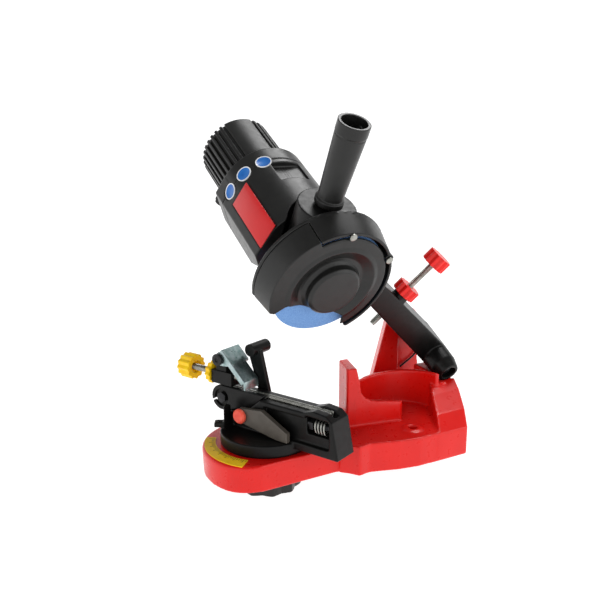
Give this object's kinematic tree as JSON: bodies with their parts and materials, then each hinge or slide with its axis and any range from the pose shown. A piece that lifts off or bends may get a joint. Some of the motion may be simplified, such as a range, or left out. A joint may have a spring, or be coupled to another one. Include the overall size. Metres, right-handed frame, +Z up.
{
  "type": "bench chain grinder",
  "caption": "Bench grinder for saw chains: a cast base with a swivelling chain vise under a sprung arm that carries a motor, grinding wheel and guard.",
  "frame": {"origin": "on the underside of the base's rear block, the face that rests on the bench, near the middle of that block", "axes": "+X from the vise disc toward the arm pivot, +Y away from the person who grinds, +Z up"},
  "size_m": [0.2845, 0.2479, 0.344],
  "materials": {
    "red_casting": "gloss",
    "scale_yellow": "satin",
    "black_casting": "satin",
    "black_plastic": "satin",
    "grey_plastic": "satin",
    "orange_plastic": "satin",
    "yellow_plastic": "satin",
    "red_plastic": "satin",
    "steel": "bright",
    "zinc": "zinc plated",
    "dark_steel": "black oxide",
    "abrasive": "rough",
    "bronze": "plain",
    "copper": "lacquered",
    "laminate": "plain",
    "label_red": "gloss",
    "badge_blue": "gloss",
    "gland_rubber": "matt"
  },
  "bodies": {
    "base": {"base_casting": "red_casting", "angle_scale": "scale_yellow", "pivot_shaft": "steel", "return_spring": "dark_steel", "pivot_screw": "dark_steel"},
    "vise": {"turntable": "black_casting", "turntable_stud": "steel", "rail_far": "steel", "stop_block": "black_plastic", "chain_stop_pin": "dark_steel", "vise_rod": "dark_steel", "vise_spring": "dark_steel"},
    "jaw": {"rail_near": "steel", "jaw_plate": "black_plastic", "jaw_bolt": "dark_steel"},
    "clamp": {"clamp_lever": "grey_plastic", "clamp_cap": "orange_plastic"},
    "chain_stop": {"chain_stop_plate": "zinc"},
    "pawl": {"pawl_lever": "black_plastic"},
    "adjuster": {"adjust_screw": "steel"},
    "adjuster_knob": {"adjust_knob": "yellow_plastic"},
    "lock_nut": {"adjust_lock_nut": "yellow_plastic"},
    "base_knob": {"lock_knob": "black_plastic"},
    "arm": {"arm": "black_casting", "arm_bushing_front": "bronze", "arm_bushing_rear": "bronze", "handle": "black_plastic", "handle_stud": "steel", "guard_screw_1": "steel", "guard_screw_2": "steel", "guard_back": "black_plastic", "guard_cover": "black_plastic", "cover_screw_1": "steel", "cover_screw_2": "steel", "motor_front_housing": "black_plastic", "motor_rear_housing": "black_plastic", "motor_cap": "black_plastic", "label_plate": "label_red", "badge_1": "badge_blue", "badge_2": "badge_blue", "badge_3": "badge_blue", "stator": "laminate", "winding_front": "copper", "winding_rear": "copper", "bearing_front": "steel", "bearing_rear": "steel", "bearing_bracket": "dark_steel", "switch_body": "black_plastic", "cord_gland": "gland_rubber"},
    "depth_stop": {"stop_screw": "steel"},
    "depth_knob": {"stop_knob": "red_plastic"},
    "jam": {"jam_knob": "red_plastic"},
    "rocker": {"switch_rocker": "red_plastic"},
    "rotor": {"spindle": "steel", "rotor": "laminate", "fan": "black_plastic", "inner_flange": "steel", "grinding_wheel": "abrasive", "outer_flange": "steel", "spindle_nut": "dark_steel"}
  },
  "joints": [
    {"name": "vise_swivel", "type": "hinge", "parent": "base", "child": "vise", "pos_m": [-0.15, 0.008, 0.025], "axis": [0, 0, 1], "range_deg": [-40, 11]},
    {"name": "base_knob_turn", "type": "hinge", "parent": "vise", "child": "base_knob", "pos_m": [-0.15, 0.008, -0.005], "axis": [0, 0, 1], "range_deg": [-180, 0]},
    {"name": "clamp_swing", "type": "hinge", "parent": "vise", "child": "clamp", "pos_m": [-0.15622, 0.02198, 0.0519], "axis": [0.9135, 0.4067, 0], "range_deg": [-35, 0]},
    {"name": "jaw_slide", "type": "slide", "parent": "vise", "child": "jaw", "axis": [-0.9135, -0.4067, 0], "range_m": [0, 0.0008]},
    {"name": "chain_stop_swing", "type": "hinge", "parent": "vise", "child": "chain_stop", "pos_m": [-0.17034, 0.05368, 0.098], "axis": [0.9135, 0.4067, 0], "range_deg": [-20, 0]},
    {"name": "pawl_swing", "type": "hinge", "parent": "vise", "child": "pawl", "pos_m": [-0.15569, 0.02079, 0.065], "axis": [0.9135, 0.4067, 0], "range_deg": [0, 35]},
    {"name": "adjust_slide", "type": "slide", "parent": "vise", "child": "adjuster", "axis": [0.4067, -0.9135, 0], "range_m": [-0.006, 0]},
    {"name": "adjust_knob_turn", "type": "hinge", "parent": "adjuster", "child": "adjuster_knob", "pos_m": [-0.18945, 0.09661, 0.0803], "axis": [0.4067, -0.9135, 0], "range_deg": [-2200, 0]},
    {"name": "lock_nut_turn", "type": "hinge", "parent": "vise", "child": "lock_nut", "pos_m": [-0.17644, 0.06738, 0.0803], "axis": [0.4067, -0.9135, 0], "range_deg": [-180, 0]},
    {"name": "arm_swing", "type": "hinge", "parent": "base", "child": "arm", "pos_m": [0.0545, 0.01295, 0.07589], "axis": [0, 0.866, 0.5], "range_deg": [-22, 0], "stiffness_Nm_per_rad": 8, "springref_deg": 42.97},
    {"name": "wheel_spin", "type": "hinge", "parent": "arm", "child": "rotor", "pos_m": [-0.1186, -0.05015, 0.18518], "axis": [0, 0.866, 0.5], "continuous": true},
    {"name": "switch_rock", "type": "hinge", "parent": "arm", "child": "rocker", "pos_m": [-0.07597, 0.03611, 0.20877], "axis": [0.3272, -0.4725, 0.8183], "range_deg": [-12, 0]},
    {"name": "depth_slide", "type": "slide", "parent": "arm", "child": "depth_stop", "axis": [0.5388, -0.4212, 0.7296], "range_m": [0, 0.008]},
    {"name": "depth_knob_turn", "type": "hinge", "parent": "depth_stop", "child": "depth_knob", "pos_m": [0.0009, -0.04711, 0.19191], "axis": [0.5388, -0.4212, 0.7296], "range_deg": [0, 2900]},
    {"name": "jam_knob_turn", "type": "hinge", "parent": "depth_stop", "child": "jam", "pos_m": [-0.02012, -0.03068, 0.16346], "axis": [0.5388, -0.4212, 0.7296], "range_deg": [0, 180]}
  ],
  "couplings": [
    {"joint": "jaw_slide", "follows": "clamp_swing", "m_per_rad": -0.0013096},
    {"joint": "adjust_knob_turn", "follows": "adjust_slide", "rad_per_m": 6283.2},
    {"joint": "depth_knob_turn", "follows": "depth_slide", "rad_per_m": 6283.2}
  ]
}
